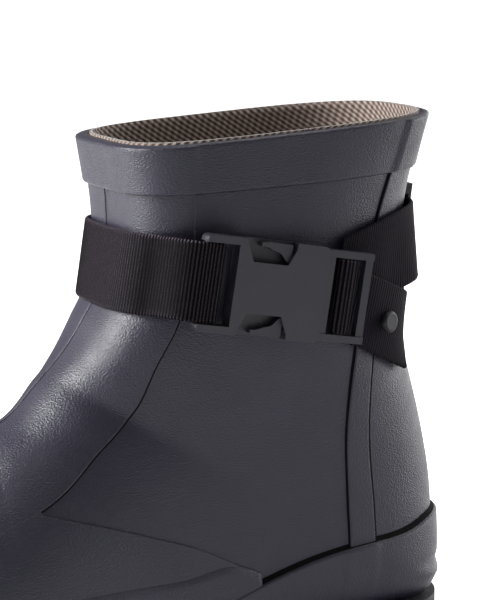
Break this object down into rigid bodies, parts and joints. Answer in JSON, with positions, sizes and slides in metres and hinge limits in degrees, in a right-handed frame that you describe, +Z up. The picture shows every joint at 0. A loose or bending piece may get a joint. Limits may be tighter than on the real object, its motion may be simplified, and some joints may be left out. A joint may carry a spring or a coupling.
{
  "type": "rubber rain boot",
  "caption": "Ankle-height rubber rain boot with a textile lining, moulded overlays, treaded outsole and a webbing ankle strap closed by a side-release buckle.",
  "frame": {"origin": "on the ground, under the middle of the boot's length and width", "axes": "+X to the toe, +Y to the outer (lateral) side of this left boot, +Z up"},
  "size_m": [0.2695, 0.1026, 0.2012],
  "materials": {
    "upper_rubber": "matte with a fine leather-like grain",
    "sole_rubber": "matte",
    "lining_mesh": "knitted mesh",
    "webbing": "ribbed woven nylon with a slight sheen",
    "buckle_plastic": "satin moulded",
    "keeper_rubber": "matte",
    "rivet_metal": "black lacquer",
    "board": "pressed fibre board",
    "shank_steel": "bare",
    "footbed_foam": "textile-covered foam"
  },
  "bodies": {
    "boot": {"outer_upper": "upper_rubber", "textile_lining": "lining_mesh", "collar_band": "upper_rubber", "front_overlay": "upper_rubber", "front_centre_strip": "upper_rubber", "back_rib_lateral": "upper_rubber", "back_rib_medial": "upper_rubber", "vamp_overlay": "upper_rubber", "toe_rand": "upper_rubber", "heel_counter": "upper_rubber", "bottom_wrap": "upper_rubber", "outsole": "sole_rubber", "heel_lift": "sole_rubber", "heel_lugs": "sole_rubber", "forepart_lugs": "sole_rubber", "insole_board": "board", "shank": "shank_steel", "footbed": "footbed_foam", "ankle_strap": "webbing", "strap_rear": "webbing", "anchor_tab": "webbing", "keeper_loop": "keeper_rubber", "rivet": "rivet_metal", "rivet_washer": "rivet_metal", "buckle_housing": "buckle_plastic", "housing_webbing": "webbing"},
    "buckle_plug": {"buckle_plug": "buckle_plastic", "plug_webbing": "webbing"},
    "latch_upper": {"latch_arm_upper": "buckle_plastic"},
    "latch_lower": {"latch_arm_lower": "buckle_plastic"}
  },
  "joints": [
    {"name": "plug_slide", "type": "slide", "parent": "boot", "child": "buckle_plug", "axis": [-0.9874, 0.0345, -0.1546], "range_m": [0, 0.026], "deforming": ["strap_rear", "latch_arm_upper", "latch_arm_lower"]},
    {"name": "latch_upper_press", "type": "hinge", "parent": "buckle_plug", "child": "latch_upper", "pos_m": [-0.0692, 0.04426, 0.14998], "axis": [0.0349, 0.9994, 0], "range_deg": [0, 9], "stiffness_Nm_per_rad": 0.3},
    {"name": "latch_lower_press", "type": "hinge", "parent": "buckle_plug", "child": "latch_lower", "pos_m": [-0.06627, 0.04416, 0.13121], "axis": [-0.0349, -0.9994, 0], "range_deg": [0, 9], "stiffness_Nm_per_rad": 0.3}
  ]
}
